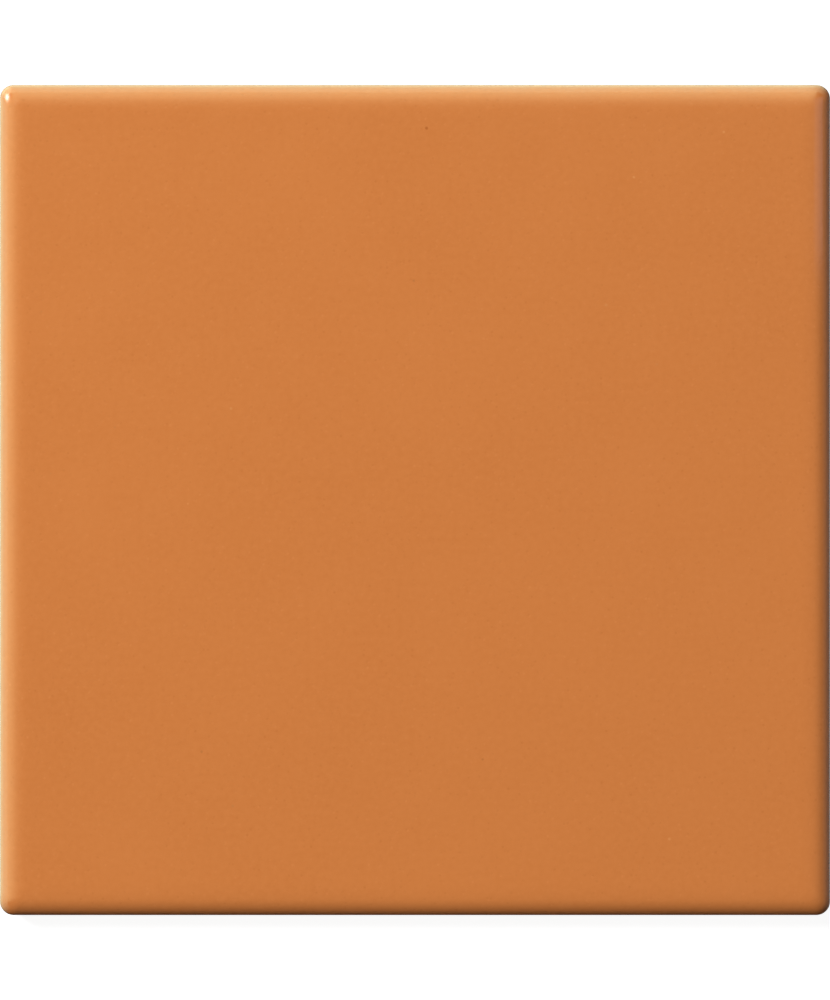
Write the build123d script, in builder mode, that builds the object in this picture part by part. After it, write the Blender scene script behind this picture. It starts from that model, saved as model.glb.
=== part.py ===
"""Square glazed wall tile: one dry-pressed and fired piece with a cushion edge and a keyed back.

The back lies on the XY plane with its centre at the origin, and the glazed face looks along +Z.
All sizes are in millimetres.
"""

import os

from build123d import *

# Outline of the tile
side = 108.0
thickness = 8.0
corner_radius = 1.8
cushion_radius = 2.6

# Lower part of the four sides, drawn in so that the pressed tile leaves its die
skirt_height = 3.0
skirt_inset = 0.3

# Keyed back: shallow pockets between ribs, inside a plain rim
rim_width = 6.0
rib_width = 2.4
pockets_per_side = 8
pocket_depth = 0.8
pocket_wall_lean = 0.5
pocket_corner_radius = 1.6

# Pockets that fill the back inside its rim
back_side = side - 2 * skirt_inset
pocket_pitch = (back_side - 2 * rim_width + rib_width) / pockets_per_side
pocket_mouth = pocket_pitch - rib_width
pocket_floor = pocket_mouth - 2 * pocket_wall_lean
floor_corner_radius = pocket_corner_radius - pocket_wall_lean

os.makedirs("parts", exist_ok=True)

# One pocket, from its mouth in the back up to its smaller floor
with BuildPart() as pocket:
    with BuildSketch():
        RectangleRounded(pocket_mouth, pocket_mouth, pocket_corner_radius)
    with BuildSketch(Plane.XY.offset(pocket_depth)):
        RectangleRounded(pocket_floor, pocket_floor, floor_corner_radius)
    loft(ruled=True)

with BuildPart() as tile:
    # Pressed blank with rounded upright corners
    with BuildSketch():
        RectangleRounded(side, side, corner_radius)
    extrude(amount=thickness)

    # Cushion edge, where the face rolls over into the sides
    face = tile.faces().sort_by(Axis.Z)[-1]
    fillet(face.edges(), radius=cushion_radius)

    # Tapered skirt below the upright land of each side
    back = tile.faces().sort_by(Axis.Z)[0]
    chamfer(back.edges(), length=skirt_inset, length2=skirt_height, reference=back)

    # Keying pockets in rows across the back
    with GridLocations(pocket_pitch, pocket_pitch, pockets_per_side, pockets_per_side):
        add(pocket.part, mode=Mode.SUBTRACT)

tile.part.label = "tile"
export_step(tile.part, "parts/tile.step")
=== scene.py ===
"""A square glazed wall tile, dressed for a studio picture seen square-on from the front.

The tile is one closed surface: a face, four sides and a keyed back, each a grid of points placed on
nested rounded squares. Lengths are in millimetres, and MM turns them into metres where a mesh, a
material, a lamp or the camera is made.
"""

import math

import bpy
import numpy as np
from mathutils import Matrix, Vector


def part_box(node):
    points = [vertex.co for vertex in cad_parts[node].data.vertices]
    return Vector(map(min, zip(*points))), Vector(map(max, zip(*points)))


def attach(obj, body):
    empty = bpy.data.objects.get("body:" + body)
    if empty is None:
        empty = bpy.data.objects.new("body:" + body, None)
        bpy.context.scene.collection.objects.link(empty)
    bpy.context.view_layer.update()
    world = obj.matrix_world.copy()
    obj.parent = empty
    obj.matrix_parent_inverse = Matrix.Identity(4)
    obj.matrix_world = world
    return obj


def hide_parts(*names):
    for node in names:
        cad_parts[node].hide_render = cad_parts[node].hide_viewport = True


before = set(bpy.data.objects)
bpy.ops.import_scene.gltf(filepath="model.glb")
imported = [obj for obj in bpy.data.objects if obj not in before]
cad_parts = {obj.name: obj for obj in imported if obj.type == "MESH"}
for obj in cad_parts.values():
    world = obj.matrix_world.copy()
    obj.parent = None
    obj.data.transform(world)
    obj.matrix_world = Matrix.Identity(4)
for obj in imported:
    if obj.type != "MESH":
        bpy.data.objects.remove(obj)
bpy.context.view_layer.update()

MM = 0.001

# Outline of the tile, from the solid model
tile_low, tile_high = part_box("tile")
side = (tile_high.x - tile_low.x) / MM
thickness = (tile_high.z - tile_low.z) / MM

# Section through an edge
cushion_radius = 2.6
corner_radius = 1.8
skirt_height = 3.0
skirt_inset = 0.3
arris_radius = 0.25

# Gentle fall of the glaze before the cushion begins
lead_in_length = 2.4
lead_in_angle = math.radians(8.0)

# Keyed back
rim_width = 6.0
rib_width = 2.4
pockets_per_side = 8
pocket_depth = 0.8
pocket_wall_lean = 0.5

# Lower edge of the glaze on the sides: its mean height, how far it wanders, its coat and rolled lip
glaze_edge_height = 3.7
glaze_edge_wander = 0.35
glaze_edge_waves = 16
glaze_edge_turns = (3, 70)
glaze_coat = 0.12
glaze_lip_width = 0.3

# Slow waves in the fired face
wave_depth = 0.014
wave_lengths = (12.0, 46.0)
wave_count = 28

# Grid lines: over the edge, in a pocket, and down the sides
section_samples = 4001
least_radius = 1e-9
lead_in_steps = 7
cushion_steps = 13
wall_steps = 5
floor_steps = 7
glaze_rings = 8
glaze_ring_crowding = 1.6
body_rings = 5
arris_rings = 3

# Patterns of the glaze: how far apart their features are, and how deep the pits and the peel go
glaze_drift_size = 16.0
glaze_grain_size = 0.8
glaze_pit_size, glaze_pit_depth = 0.75, 0.006
glaze_peel_size, glaze_peel_depth = 1.4, 0.008
glaze_haze_size = 6.0
stray_speck_size = 7.0

# Patterns of the bare clay
clay_cloud_size = 18.0
clay_grain_size, clay_grain_depth = 0.5, 0.06
grog_size = 1.7

# Spots: the shares of their cell between which they fade out, and how strongly they are toned
# The pits' darker or paler colour is painted shade and highlight on their dents
pit_core, pit_rim, painted_pit_shade_strength = 0.1, 0.33, 0.42
speck_core, speck_rim, speck_strength = 0.016, 0.034, 0.6
grog_core, grog_rim, grog_strength = 0.1, 0.15, 0.7

# The one dark iron speck that stands out on the face
iron_speck_place = (1.49, 48.22)
iron_speck_core, iron_speck_radius = 0.108, 0.27
iron_speck_strength = 0.45

# Tones that follow a value: where they start, where they are full, and how strong they are
gathered_start, gathered_strength = 0.45, 0.7
clay_grain_start, clay_grain_full, clay_grain_strength = 0.35, 0.75, 0.55

# Shine: the glaze's roughness where clear and where hazy, the clay's, and the index of both
haze_start, haze_full = 0.3, 0.7
clear_roughness, hazy_roughness = 0.16, 0.23
clay_roughness, clay_shine = 0.85, 0.12
ceramic_index = 1.5

# Floor and room
floor_reach = 700.0
floor_glow = 0.92
room_light = 0.02

# Lamps for the colour: brightness is that of a lamp's surface, where 1 is white
key_place = (-735, 593, 1413)
key_size = (500, 500)
key_brightness = 42.4
right_fill_brightness = 0.18
bounce_gap, bounce_width = 1.0, 14.0
bounce_height, bounce_lean = 0.6, 0.03
bounce_brightness = 0.42

# Tall cards, for the gloss: foot and head as (distance out, height)
card_foot, card_head = (690, 175), (250, 900)
card_width, card_end_fade = 1050, 250
lit_card_shift = 75
lit_card_colour, lit_card_top_share = "#e8ffc8", 0.1
left_card_brightness, top_card_brightness = 3.3, 3.9
right_card_width = 1100
right_card_colour, right_card_brightness = "#9a80ff", 0.45

# Low strips, for the gloss: their ends are counted from mid-side, towards the lit corner and away
strip_gap = 1.0
strip_low, strip_high = 2.0, 8.0
strip_end_fade = 8.0
strip_spread = 150.0
lit_end, shaded_end = 64.0, 58.0
lit_strip_colour = "#ecffd0"
left_strip_brightness, left_strip_top_share = 3.2, 1.25
top_strip_brightness, top_strip_top_share = 3.3, 1.4
right_strip_colour = "#ffffff"
right_strip_brightness, right_strip_top_share = 0.5, 0.5

# Cool pane and hot glint, for the gloss
pane_place, pane_target = (75, 51, 28), (53, 51, 7.5)
pane_size, pane_end_fade = (46.0, 30.0), 8.0
pane_colour, pane_brightness = "#cfe2ff", 1.1
pane_top_share = 0.6
lit_corner = (-53, 52, 7)
glint_place = (-63.6, 57.6, 9.8)
glint_size = (11.0, 8.6)
glint_spread = 38.0
glint_brightness = 28.0

# Camera and the picture that it makes
lens = 200.0
sensor = 36.0
picture_width, picture_height = 830, 1000
nearest_seen, farthest_seen = 10.0, 20000.0

# Sockets of a Mix node that mixes colours, which share their names with its other kinds
MIX_A, MIX_B, MIX_RESULT = 6, 7, 2

# The face's waves and the glaze's lower edge are drawn by chance from one seed
pattern_seed = 108
chance = np.random.default_rng(pattern_seed)

half_side = side / 2
back_half = half_side - skirt_inset - arris_radius
pocket_pitch = (side - 2 * skirt_inset - 2 * rim_width + rib_width) / pockets_per_side
pocket_mouth = pocket_pitch - rib_width


def edge_section():
    """Section from the flat face over the cushion to the upright rim, as (run, drop) at each step.

    The tangent's angle grows with the square of the length along the lead-in, and evenly along the
    cushion's arc to upright. Run and drop are the running sums of its cosine and sine.
    """
    arc_length = cushion_radius * (math.pi / 2 - lead_in_angle)
    steps = np.concatenate([
        np.linspace(0, lead_in_length, lead_in_steps, endpoint=False),
        np.linspace(lead_in_length, lead_in_length + arc_length, cushion_steps + 1),
    ])
    length = np.linspace(0, steps[-1], section_samples)
    middle = (length[1:] + length[:-1]) / 2
    angle = np.where(
        middle < lead_in_length,
        lead_in_angle * (middle / lead_in_length) ** 2,
        lead_in_angle + (middle - lead_in_length) / cushion_radius,
    )
    stride = length[1]
    run = np.concatenate([[0], np.cumsum(np.cos(angle)) * stride])
    drop = np.concatenate([[0], np.cumsum(np.sin(angle)) * stride])
    return np.interp(steps, length, run), np.interp(steps, length, drop)


edge_run, edge_drop = edge_section()
edge_levels = len(edge_run) - 1
edge_band = edge_run[-1]
flat_half = half_side - edge_band
rim_height = thickness - edge_drop[-1]
pocket_centres = (np.arange(pockets_per_side) - (pockets_per_side - 1) / 2) * pocket_pitch


def grid_lines():
    """Lines of the square grid along one axis, as (seat, level).

    Seat is a line's place on the flat middle, close together on the pocket walls. Level counts the
    steps that a line has gone over the edge, negative on the low side and 0 on the flat.
    """
    wall = np.linspace(pocket_mouth / 2, pocket_mouth / 2 - pocket_wall_lean, wall_steps + 1)
    floor = np.linspace(-wall[-1], wall[-1], floor_steps + 1)[1:-1]
    across_pocket = np.concatenate([-wall, floor, wall[::-1]])
    ribs = (pocket_centres[1:] + pocket_centres[:-1]) / 2
    flat = np.sort(np.concatenate([
        np.add.outer(pocket_centres, across_pocket).ravel(), ribs, [-flat_half, flat_half],
    ]))
    over = np.arange(1, edge_levels + 1)
    seat = np.concatenate([np.full(edge_levels, -flat_half), flat, np.full(edge_levels, flat_half)])
    level = np.concatenate([-over[::-1], np.zeros(len(flat), int), over])
    return seat, level


def on_rounded_square(seat_x, level_x, seat_y, level_y, half, radius):
    """Plan position of grid points, each on the rounded square with its own half side and radius.

    Off the corners a point keeps its seat along the side. In a corner it goes the share (smaller
    level over larger) of the way from the end of the side to the diagonal, straight and then round.
    """
    away_x, away_y = np.abs(level_x), np.abs(level_y)
    share = np.minimum(away_x, away_y) / np.maximum(np.maximum(away_x, away_y), 1)
    radius = np.maximum(radius, least_radius)
    straight = np.maximum(half - radius - flat_half, 0)
    travel = share * (straight + radius * math.pi / 4)
    turn = np.clip((travel - straight) / radius, 0, math.pi / 4)
    along = flat_half + np.minimum(travel, straight) + radius * np.sin(turn)
    out = half - radius * (1 - np.cos(turn))
    x_leads = away_x >= away_y
    x = np.where(away_x == 0, seat_x, np.sign(level_x) * np.where(x_leads, out, along))
    y = np.where(away_y == 0, seat_y, np.sign(level_y) * np.where(x_leads, along, out))
    return x, y


def fired_wave(x, y):
    """Height of the fired face's waves, from -1 to 1: a sum of sine waves in random directions."""
    length = np.exp(chance.uniform(*np.log(wave_lengths), wave_count))
    heading = chance.uniform(0, 2 * math.pi, wave_count)
    phase = chance.uniform(0, 2 * math.pi, wave_count)
    weight = length / length.sum()
    along = np.multiply.outer(x, np.cos(heading)) + np.multiply.outer(y, np.sin(heading))
    return np.sin(2 * math.pi * along / length + phase) @ weight


def pocket_relief(x, y):
    """Depth of the keyed back: the pocket depth times an eased wall along x times one along y."""
    def wall(place):
        away = np.abs(place[..., None] - pocket_centres).min(axis=-1)
        rise = np.clip((pocket_mouth / 2 - away) / pocket_wall_lean, 0, 1)
        return rise * rise * (3 - 2 * rise)
    return pocket_depth * wall(x) * wall(y)


def glaze_edge(perimeter):
    """Height of the glaze's lower edge along the sides, from whole numbers of waves round the tile."""
    turns = chance.integers(*glaze_edge_turns, glaze_edge_waves)
    phase = chance.uniform(0, 2 * math.pi, glaze_edge_waves)
    weight = 1 / np.sqrt(turns)
    share = perimeter[:-1] / perimeter[-1]
    waves = np.sin(2 * math.pi * np.multiply.outer(share, turns) + phase) @ weight
    return glaze_edge_height + glaze_edge_wander * waves / np.abs(waves).max()


def side_rings(edge_height):
    """Rings down the sides from below the rim to above the back, as (height, inset).

    The glaze runs straight down and ends in a quarter-round lip. The bare body below it starts one
    coat further in, tapers to the skirt's inset and turns into the back round a small arris.
    """
    down_glaze = np.linspace(1, 0, glaze_rings + 1)[1:, None] ** glaze_ring_crowding
    glaze_height = edge_height + down_glaze * (rim_height - edge_height)
    lip = np.clip(1 - (glaze_height - edge_height) / glaze_lip_width, 0, 1)
    glaze_inset = glaze_coat * (1 - np.sqrt(1 - lip * lip))
    down_body = np.linspace(1, 0, body_rings + 1)[1:, None]
    body_height = arris_radius + down_body * (edge_height - arris_radius)
    taper = np.clip((skirt_height - body_height) / (skirt_height - arris_radius), 0, 1)
    body_inset = glaze_coat + (skirt_inset - glaze_coat) * taper
    turn = np.linspace(0, math.pi / 2, arris_rings + 1)[1:-1, None] + 0 * edge_height
    arris_height = arris_radius * (1 - np.sin(turn))
    arris_inset = skirt_inset + arris_radius * (1 - np.cos(turn))
    return (
        np.concatenate([glaze_height, body_height, arris_height]),
        np.concatenate([glaze_inset, body_inset, arris_inset]),
    )


def sheet_quads(index):
    """Quads of a grid of vertex numbers, facing +Z."""
    corners = index[:-1, :-1], index[:-1, 1:], index[1:, 1:], index[1:, :-1]
    return np.stack(corners, axis=-1).reshape(-1, 4)


def border(grid):
    """The border of a square grid as one list, anticlockwise seen from +Z."""
    return np.concatenate([grid[0, :-1], grid[:-1, -1], grid[-1, :0:-1], grid[:0:-1, 0]])


def make_tile(glaze, bisque):
    """The whole tile as one closed mesh: face grid, back grid, and rings that join their borders.

    The point attribute gathered is 1 at the glaze's lower edge, where it ran together, and falls to
    0 at the rim.
    """
    seat, level = grid_lines()
    seat_x, seat_y = np.meshgrid(seat, seat)
    level_x, level_y = np.meshgrid(level, level)
    deepest = np.maximum(np.abs(level_x), np.abs(level_y))

    # Face: the rounded squares grow by the section's run, and their corners with them
    run = edge_run[deepest]
    face_x, face_y = on_rounded_square(
        seat_x, level_x, seat_y, level_y, flat_half + run, corner_radius * run / edge_band)
    fade = 1 - deepest / edge_levels
    face_z = thickness - edge_drop[deepest] - wave_depth * fade * (1 + fired_wave(face_x, face_y)) / 2

    # Back: the same grid drawn in to the back's outline, with the pockets pressed into it
    back_run = (back_half - flat_half) * run / edge_band
    back_x, back_y = on_rounded_square(
        seat_x, level_x, seat_y, level_y, flat_half + back_run, corner_radius * run / edge_band)
    back_z = pocket_relief(back_x, back_y)

    # Sides: rings on the border's lines, down to the back
    rim_x, rim_y = border(face_x), border(face_y)
    strides = np.hypot(np.diff(rim_x, append=rim_x[0]), np.diff(rim_y, append=rim_y[0]))
    perimeter = np.concatenate([[0], np.cumsum(strides)])
    edge_height = glaze_edge(perimeter)
    ring_z, ring_inset = side_rings(edge_height)
    ring_x, ring_y = on_rounded_square(
        border(seat_x), border(level_x), border(seat_y), border(level_y),
        half_side - ring_inset, corner_radius - ring_inset)
    gathered = np.clip((rim_height - ring_z) / (rim_height - edge_height), 0, 1)

    points = np.concatenate([
        np.stack(part, axis=-1).reshape(-1, 3)
        for part in ((face_x, face_y, face_z), (back_x, back_y, back_z), (ring_x, ring_y, ring_z))
    ])
    face_index = np.arange(face_x.size).reshape(face_x.shape)
    back_index = face_x.size + face_index
    ring_index = 2 * face_x.size + np.arange(ring_x.size).reshape(ring_x.shape)
    rings = np.concatenate([[border(face_index)], ring_index, [border(back_index)]])
    onward = np.roll(rings, -1, axis=1)
    side_quads = np.stack([rings[:-1], rings[1:], onward[1:], onward[:-1]], axis=-1)
    glazed = np.concatenate([sheet_quads(face_index), side_quads[:glaze_rings].reshape(-1, 4)])
    bare = np.concatenate([side_quads[glaze_rings:].reshape(-1, 4), sheet_quads(back_index)[:, ::-1]])
    quads = np.concatenate([glazed, bare])

    mesh = bpy.data.meshes.new("glazed_tile")
    mesh.vertices.add(len(points))
    mesh.vertices.foreach_set("co", (points * MM).ravel())
    mesh.loops.add(quads.size)
    mesh.loops.foreach_set("vertex_index", quads.ravel())
    mesh.polygons.add(len(quads))
    mesh.polygons.foreach_set("loop_start", np.arange(0, quads.size, 4))
    mesh.materials.append(glaze)
    mesh.materials.append(bisque)
    mesh.polygons.foreach_set("material_index", np.repeat([0, 1], [len(glazed), len(bare)]))
    mesh.polygons.foreach_set("use_smooth", np.ones(len(quads), bool))
    mesh.update(calc_edges=True)
    on_points = mesh.attributes.new("gathered", "FLOAT", "POINT")
    on_points.data.foreach_set("value", np.concatenate([np.zeros(2 * face_x.size), gathered.ravel()]))

    piece = bpy.data.objects.new("glazed_tile", mesh)
    bpy.context.scene.collection.objects.link(piece)
    return piece


def linear(hex_colour):
    """Linear RGBA of an sRGB hex colour."""
    srgb = np.array([int(hex_colour[i:i + 2], 16) for i in (1, 3, 5)]) / 255
    rgb = np.where(srgb <= 0.04045, srgb / 12.92, ((srgb + 0.055) / 1.055) ** 2.4)
    return (*map(float, rgb), 1.0)


def per_metre(size):
    """Texture scale for a feature of this size in millimetres."""
    return 1 / (size * MM)


def add(tree, kind, links=(), values=(), **properties):
    """Adds a node to a tree, with links from outputs into its inputs, input values and properties."""
    node = tree.nodes.new(kind)
    for name, value in properties.items():
        setattr(node, name, value)
    for socket, value in dict(values).items():
        node.inputs[socket].default_value = value
    for socket, output in dict(links).items():
        tree.links.new(output, node.inputs[socket])
    return node


def new_material(name):
    """An empty node material and its tree."""
    material = bpy.data.materials.new(name)
    material.use_nodes = True
    material.node_tree.nodes.clear()
    return material, material.node_tree


def orange_gloss_glaze():
    """Opaque orange glaze, sprayed on the pressed body and fired to a gloss.

    The eye gets one even warm orange that barely drifts, a fine grain of shallow pits with painted
    shade and highlight in them, a few stray specks, a clear shine, and a deeper tone where the glaze has
    gathered above its lower edge.
    """
    material, tree = new_material("orange_gloss_glaze")
    place = add(tree, "ShaderNodeTexCoord").outputs["Object"]

    # Pigment: a slow drift of tone, and a grain drawn coarser than the real one so that it shows
    drift = add(
        tree, "ShaderNodeTexNoise", {"Vector": place},
        {"Scale": per_metre(glaze_drift_size), "Detail": 3.0})
    drifted = add(
        tree, "ShaderNodeMix", {"Factor": drift.outputs["Fac"]},
        {MIX_A: linear("#c77539"), MIX_B: linear("#d17e41")}, data_type="RGBA")
    grain = add(
        tree, "ShaderNodeTexNoise", {"Vector": place},
        {"Scale": per_metre(glaze_grain_size), "Detail": 3.0})
    grained = add(
        tree, "ShaderNodeMix", {"Factor": grain.outputs["Fac"], MIX_A: drifted.outputs[MIX_RESULT]},
        {MIX_B: linear("#d48245")}, data_type="RGBA")

    # Painted shade and highlight at the fine pits: each pit is coloured a little darker or paler than the
    # glaze round it, in place of the light and shade on its dent. The dents themselves are the bump below
    pits = add(tree, "ShaderNodeTexVoronoi", {"Vector": place}, {"Scale": per_metre(glaze_pit_size)})
    pit_wall = add(
        tree, "ShaderNodeMapRange", {"Value": pits.outputs["Distance"]},
        {"From Min": pit_core, "From Max": pit_rim}, interpolation_type="SMOOTHSTEP")
    pit_shade_share = add(
        tree, "ShaderNodeMapRange", {"Value": pit_wall.outputs[0]},
        {"To Min": painted_pit_shade_strength, "To Max": 0.0})
    painted_pit_shade_tone = add(
        tree, "ShaderNodeMix", {"Factor": pits.outputs["Color"]},
        {MIX_A: linear("#bf6f34"), MIX_B: linear("#dc8a4d")}, data_type="RGBA")
    pit_shaded = add(
        tree, "ShaderNodeMix",
        {"Factor": pit_shade_share.outputs[0], MIX_A: grained.outputs[MIX_RESULT],
         MIX_B: painted_pit_shade_tone.outputs[MIX_RESULT]},
        data_type="RGBA")

    # Stray specks from dark to pale: one small ball in each cell, of which the surface cuts only a few
    specks = add(tree, "ShaderNodeTexVoronoi", {"Vector": place}, {"Scale": per_metre(stray_speck_size)})
    speck = add(
        tree, "ShaderNodeMapRange", {"Value": specks.outputs["Distance"]},
        {"From Min": speck_core, "From Max": speck_rim, "To Min": speck_strength, "To Max": 0.0})
    speck_tone = add(
        tree, "ShaderNodeMix", {"Factor": specks.outputs["Color"]},
        {MIX_A: linear("#9c5523"), MIX_B: linear("#f4a866")}, data_type="RGBA")
    specked = add(
        tree, "ShaderNodeMix",
        {"Factor": speck.outputs[0], MIX_A: pit_shaded.outputs[MIX_RESULT],
         MIX_B: speck_tone.outputs[MIX_RESULT]},
        data_type="RGBA")

    # Iron speck: brown within its radius, fading towards its rim
    iron = add(
        tree, "ShaderNodeVectorMath", {0: place},
        {1: (iron_speck_place[0] * MM, iron_speck_place[1] * MM, thickness * MM)}, operation="DISTANCE")
    iron_spot = add(
        tree, "ShaderNodeMapRange", {"Value": iron.outputs["Value"]},
        {"From Min": iron_speck_core * MM, "From Max": iron_speck_radius * MM,
         "To Min": iron_speck_strength, "To Max": 0.0})
    ironed = add(
        tree, "ShaderNodeMix", {"Factor": iron_spot.outputs[0], MIX_A: specked.outputs[MIX_RESULT]},
        {MIX_B: linear("#96480f")}, data_type="RGBA")

    # Gathered glaze: deeper towards its lower edge
    gathered = add(tree, "ShaderNodeAttribute", attribute_name="gathered")
    depth = add(
        tree, "ShaderNodeMapRange", {"Value": gathered.outputs["Fac"]},
        {"From Min": gathered_start, "To Max": gathered_strength}, interpolation_type="SMOOTHSTEP")
    colour = add(
        tree, "ShaderNodeMix", {"Factor": depth.outputs[0], MIX_A: ironed.outputs[MIX_RESULT]},
        {MIX_B: linear("#a8541f")}, data_type="RGBA")

    # Surface: shallow pits about 0.5 mm across, and a wider orange peel, both a few microns deep
    pitted = add(
        tree, "ShaderNodeBump", {"Height": pit_wall.outputs[0]},
        {"Strength": 1.0, "Distance": glaze_pit_depth * MM})
    peel = add(
        tree, "ShaderNodeTexNoise", {"Vector": place}, {"Scale": per_metre(glaze_peel_size), "Detail": 2.0})
    peeled = add(
        tree, "ShaderNodeBump", {"Height": peel.outputs["Fac"], "Normal": pitted.outputs["Normal"]},
        {"Strength": 1.0, "Distance": glaze_peel_depth * MM})

    # Shine: a little softer in slow patches
    haze = add(
        tree, "ShaderNodeTexNoise", {"Vector": place}, {"Scale": per_metre(glaze_haze_size), "Detail": 2.0})
    roughness = add(
        tree, "ShaderNodeMapRange", {"Value": haze.outputs["Fac"]},
        {"From Min": haze_start, "From Max": haze_full,
         "To Min": clear_roughness, "To Max": hazy_roughness})

    shader = add(
        tree, "ShaderNodeBsdfPrincipled",
        {"Base Color": colour.outputs[MIX_RESULT], "Roughness": roughness.outputs[0],
         "Normal": peeled.outputs["Normal"]},
        {"IOR": ceramic_index})
    add(tree, "ShaderNodeOutputMaterial", {"Surface": shader.outputs["BSDF"]})
    return material


def buff_bisque():
    """Dry-pressed clay, fired and left unglazed.

    The eye gets a pale buff, matt and chalky, clouded by the firing, with a sandy grain and scattered
    grains of grog, some darker and some paler than the clay.
    """
    material, tree = new_material("buff_bisque")
    place = add(tree, "ShaderNodeTexCoord").outputs["Object"]

    # Clay: clouds from the firing, and a grain drawn coarser than the real one so that it shows
    clouds = add(
        tree, "ShaderNodeTexNoise", {"Vector": place}, {"Scale": per_metre(clay_cloud_size), "Detail": 4.0})
    clouded = add(
        tree, "ShaderNodeMix", {"Factor": clouds.outputs["Fac"]},
        {MIX_A: linear("#d6b083"), MIX_B: linear("#e9cca1")}, data_type="RGBA")
    grain = add(
        tree, "ShaderNodeTexNoise", {"Vector": place}, {"Scale": per_metre(clay_grain_size), "Detail": 4.0})
    grain_share = add(
        tree, "ShaderNodeMapRange", {"Value": grain.outputs["Fac"]},
        {"From Min": clay_grain_start, "From Max": clay_grain_full, "To Max": clay_grain_strength})
    grained = add(
        tree, "ShaderNodeMix", {"Factor": grain_share.outputs[0], MIX_A: clouded.outputs[MIX_RESULT]},
        {MIX_B: linear("#f0dcba")}, data_type="RGBA")

    # Grog: crushed fired clay, grains up to 0.5 mm
    grog = add(tree, "ShaderNodeTexVoronoi", {"Vector": place}, {"Scale": per_metre(grog_size)})
    grog_spot = add(
        tree, "ShaderNodeMapRange", {"Value": grog.outputs["Distance"]},
        {"From Min": grog_core, "From Max": grog_rim, "To Min": grog_strength, "To Max": 0.0})
    grog_tone = add(
        tree, "ShaderNodeMix", {"Factor": grog.outputs["Color"]},
        {MIX_A: linear("#93714c"), MIX_B: linear("#faf4ea")}, data_type="RGBA")
    colour = add(
        tree, "ShaderNodeMix",
        {"Factor": grog_spot.outputs[0], MIX_A: grained.outputs[MIX_RESULT],
         MIX_B: grog_tone.outputs[MIX_RESULT]},
        data_type="RGBA")

    # Surface: the grain stands out as a sandy bump, with almost no shine
    bump = add(
        tree, "ShaderNodeBump", {"Height": grain.outputs["Fac"]},
        {"Strength": 1.0, "Distance": clay_grain_depth * MM})
    shader = add(
        tree, "ShaderNodeBsdfPrincipled",
        {"Base Color": colour.outputs[MIX_RESULT], "Normal": bump.outputs["Normal"]},
        {"IOR": ceramic_index, "Roughness": clay_roughness, "Specular IOR Level": clay_shine})
    add(tree, "ShaderNodeOutputMaterial", {"Surface": shader.outputs["BSDF"]})
    return material


def white_floor():
    """White floor that the camera sees glow nearly to white by itself, so that only the shadow shows.

    It is left out of the gloss, where the strips of light beside the tile stand in front of it.
    """
    material, tree = new_material("white_floor")
    rays = add(tree, "ShaderNodeLightPath")
    matt = add(tree, "ShaderNodeBsdfDiffuse", values={"Color": linear("#909090")})
    lit = add(tree, "ShaderNodeMixShader", {"Fac": rays.outputs["Is Glossy Ray"], 1: matt.outputs[0]})
    glow = add(
        tree, "ShaderNodeMath", {0: rays.outputs["Is Camera Ray"]}, {1: floor_glow}, operation="MULTIPLY")
    white = add(tree, "ShaderNodeEmission", {"Strength": glow.outputs[0]}, {"Color": linear("#ffffff")})
    both = add(tree, "ShaderNodeAddShader", {0: lit.outputs[0], 1: white.outputs[0]})
    add(tree, "ShaderNodeOutputMaterial", {"Surface": both.outputs[0]})
    return material


def make_floor():
    """A wide flat square that the tile lies on."""
    corners = np.array([[-1, -1, 0], [1, -1, 0], [1, 1, 0], [-1, 1, 0]]) * floor_reach * MM
    mesh = bpy.data.meshes.new("floor")
    mesh.from_pydata(corners.tolist(), [], [[0, 1, 2, 3]])
    mesh.materials.append(white_floor())
    floor = bpy.data.objects.new("floor", mesh)
    bpy.context.scene.collection.objects.link(floor)


def make_world():
    """Dim even room light, and white where the camera looks past the floor."""
    world = bpy.data.worlds.new("studio")
    bpy.context.scene.world = world
    world.use_nodes = True
    tree = world.node_tree
    tree.nodes.clear()
    rays = add(tree, "ShaderNodeLightPath")
    room = add(tree, "ShaderNodeBackground", values={"Color": linear("#ffffff"), "Strength": room_light})
    white = add(tree, "ShaderNodeBackground", values={"Color": linear("#ffffff"), "Strength": 1.0})
    seen = add(
        tree, "ShaderNodeMixShader",
        {"Fac": rays.outputs["Is Camera Ray"], 1: room.outputs[0], 2: white.outputs[0]})
    add(tree, "ShaderNodeOutputWorld", {"Surface": seen.outputs[0]})


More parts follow.
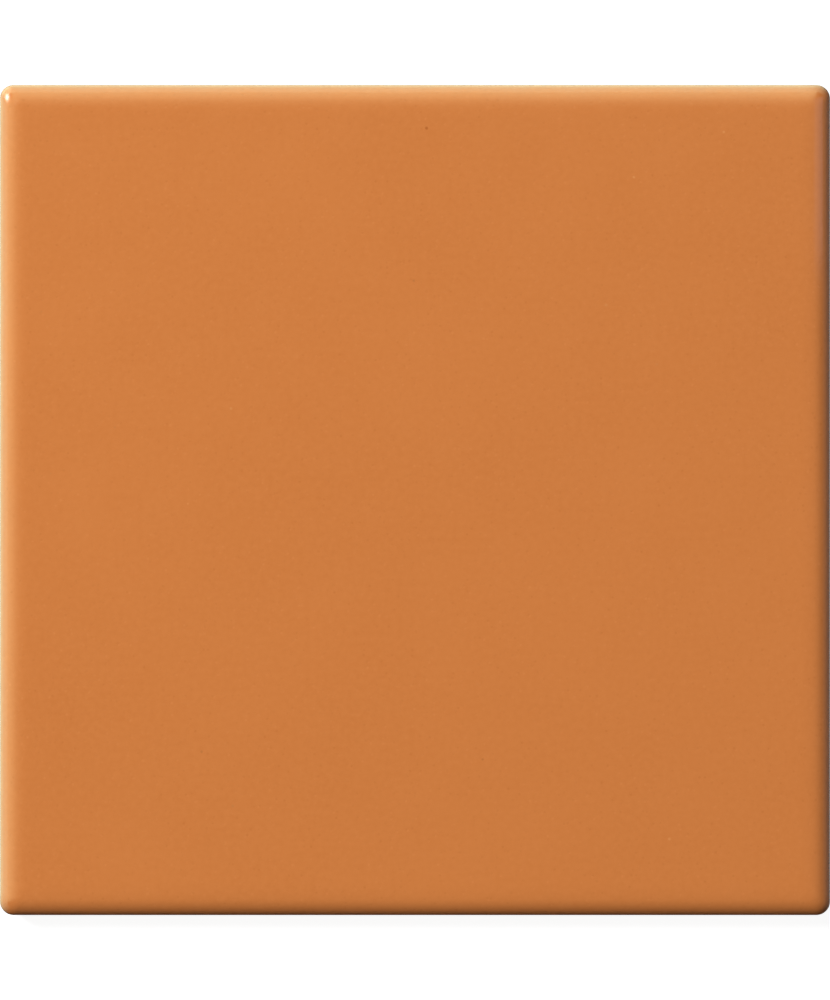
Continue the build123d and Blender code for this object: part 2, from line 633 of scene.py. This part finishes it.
def add_lamp(
        name, place, target, size, brightness, colour="#ffffff", top_share=1.0, end_fade=0.001,
        spread=180.0):
    """A rectangular lamp at a place, facing a target, as bright as said seen along its beam.

    Its brightness changes evenly to the top share at its top, and fades out over the end fade at its
    left and right ends and over the spread of its beam in degrees. A lamp of the same power with a
    narrow beam is brighter by tan h / (tan h - h), where h is half the spread, and the power is
    divided by that.
    """
    half_spread = math.radians(spread) / 2
    gain = math.tan(half_spread) / (math.tan(half_spread) - half_spread)
    lamp = bpy.data.lights.new(name, "AREA")
    lamp.shape = "RECTANGLE"
    lamp.size, lamp.size_y = size[0] * MM, size[1] * MM
    lamp.spread = 2 * half_spread
    lamp.energy = brightness * math.pi * lamp.size * lamp.size_y / gain
    lamp.color = linear(colour)[:3]
    lamp.use_nodes = True
    tree = lamp.node_tree
    tree.nodes.clear()
    across = add(
        tree, "ShaderNodeSeparateXYZ", {0: add(tree, "ShaderNodeNewGeometry").outputs["Parametric"]})
    upward = add(
        tree, "ShaderNodeMapRange", {"Value": across.outputs["Y"]}, {"To Min": 1.0, "To Max": top_share})
    from_end = add(tree, "ShaderNodeMath", {0: across.outputs["X"]}, {1: 0.5}, operation="PINGPONG")
    inward = add(
        tree, "ShaderNodeMapRange", {"Value": from_end.outputs[0]}, {"From Max": end_fade / size[0]},
        interpolation_type="SMOOTHSTEP")
    strength = add(
        tree, "ShaderNodeMath", {0: upward.outputs[0], 1: inward.outputs[0]}, operation="MULTIPLY")
    light = add(tree, "ShaderNodeEmission", {"Strength": strength.outputs[0]})
    add(tree, "ShaderNodeOutputLight", {"Surface": light.outputs[0]})
    holder = bpy.data.objects.new(name, lamp)
    holder.location = Vector(place) * MM
    holder.rotation_euler = (Vector(target) - Vector(place)).to_track_quat("-Z", "Y").to_euler()
    holder.visible_camera = False
    bpy.context.scene.collection.objects.link(holder)
    return holder


def add_card(name, heading, width, brightness, colour="#ffffff", top_share=1.0, shift=(0, 0)):
    """A tall card of light that leans over the tile from one side, some way above the floor.

    The shift moves it along the floor from the middle of that side.
    """
    outward = Vector((*heading, 0))
    up = Vector((0, 0, 1))
    foot = outward * card_foot[0] + up * card_foot[1]
    head = outward * card_head[0] + up * card_head[1]
    rise = head - foot
    middle = (foot + head) / 2 + Vector((*shift, 0))
    facing = up * rise.dot(outward) - outward * rise.dot(up)
    return add_lamp(
        name, middle, middle + facing, (width, rise.length), brightness, colour, top_share, card_end_fade)


def add_strip(name, heading, start, stop, brightness, colour, top_share):
    """A low upright strip of light close beside one side of the tile, no higher than its face."""
    outward = Vector((*heading, 0))
    along = Vector((-heading[1], heading[0], 0))
    place = outward * (half_side + strip_gap) + along * (start + stop) / 2
    place.z = (strip_low + strip_high) / 2
    size = stop - start, strip_high - strip_low
    return add_lamp(
        name, place, place - outward, size, brightness, colour, top_share, strip_end_fade, strip_spread)


def add_bounce(name, heading):
    """A pale card that lies on the floor along one side of the tile and lights that side from below."""
    outward = Vector((*heading, 0))
    place = outward * (half_side + bounce_gap + bounce_width / 2)
    place.z = bounce_height
    facing = Vector((0, 0, 1)) - outward * bounce_lean
    return add_lamp(name, place, place + facing, (side, bounce_width), bounce_brightness)


def make_lights():
    """A soft key from the upper left, weak fills for the shaded sides, and lamps for the gloss alone.

    The cards and strips make the shine along the edges, bright on the left and top: the cards on the
    upper half of the cushion and the strips on its lower half. The pane is the cool sheen at the upper
    end of the right edge, and the glint is the small hot spot at the lit corner.
    """
    matt_lamps = [
        add_lamp("key", key_place, (0, 0, 0), key_size, key_brightness),
        add_card("right_fill", (1, 0), card_width, right_fill_brightness),
        add_bounce("right_bounce", (1, 0)),
        add_bounce("front_bounce", (0, -1)),
    ]
    for lamp in matt_lamps:
        lamp.visible_glossy = False

    gloss_lamps = [
        add_card(
            "left_card", (-1, 0), card_width, left_card_brightness, lit_card_colour, lit_card_top_share,
            (0, lit_card_shift)),
        add_card(
            "top_card", (0, 1), card_width, top_card_brightness, lit_card_colour, lit_card_top_share,
            (-lit_card_shift, 0)),
        add_card("right_card", (1, 0), right_card_width, right_card_brightness, right_card_colour),
        add_strip(
            "left_strip", (-1, 0), -lit_end, shaded_end, left_strip_brightness, lit_strip_colour,
            left_strip_top_share),
        add_strip(
            "top_strip", (0, 1), -shaded_end, lit_end, top_strip_brightness, lit_strip_colour,
            top_strip_top_share),
        add_strip(
            "right_strip", (1, 0), -shaded_end, shaded_end, right_strip_brightness, right_strip_colour,
            right_strip_top_share),
        add_lamp(
            "pane", pane_place, pane_target, pane_size, pane_brightness, pane_colour, pane_top_share,
            pane_end_fade),
        add_lamp("glint", glint_place, lit_corner, glint_size, glint_brightness, spread=glint_spread),
    ]
    for lamp in gloss_lamps:
        lamp.visible_diffuse = False


def make_camera():
    """A long lens straight above the tile, far enough that the rim fills the picture's width."""
    camera = bpy.data.cameras.new("front")
    camera.lens = lens
    camera.sensor_width = sensor
    camera.clip_start = nearest_seen * MM
    camera.clip_end = farthest_seen * MM
    view_height = side * picture_height / picture_width
    holder = bpy.data.objects.new("front", camera)
    holder.location = Vector((0, 0, rim_height + view_height * lens / sensor)) * MM
    bpy.context.scene.collection.objects.link(holder)
    bpy.context.scene.camera = holder


tile = make_tile(orange_gloss_glaze(), buff_bisque())
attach(tile, "root")
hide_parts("tile")

make_floor()
make_world()
make_lights()
make_camera()

bpy.context.scene.view_settings.view_transform = "Standard"
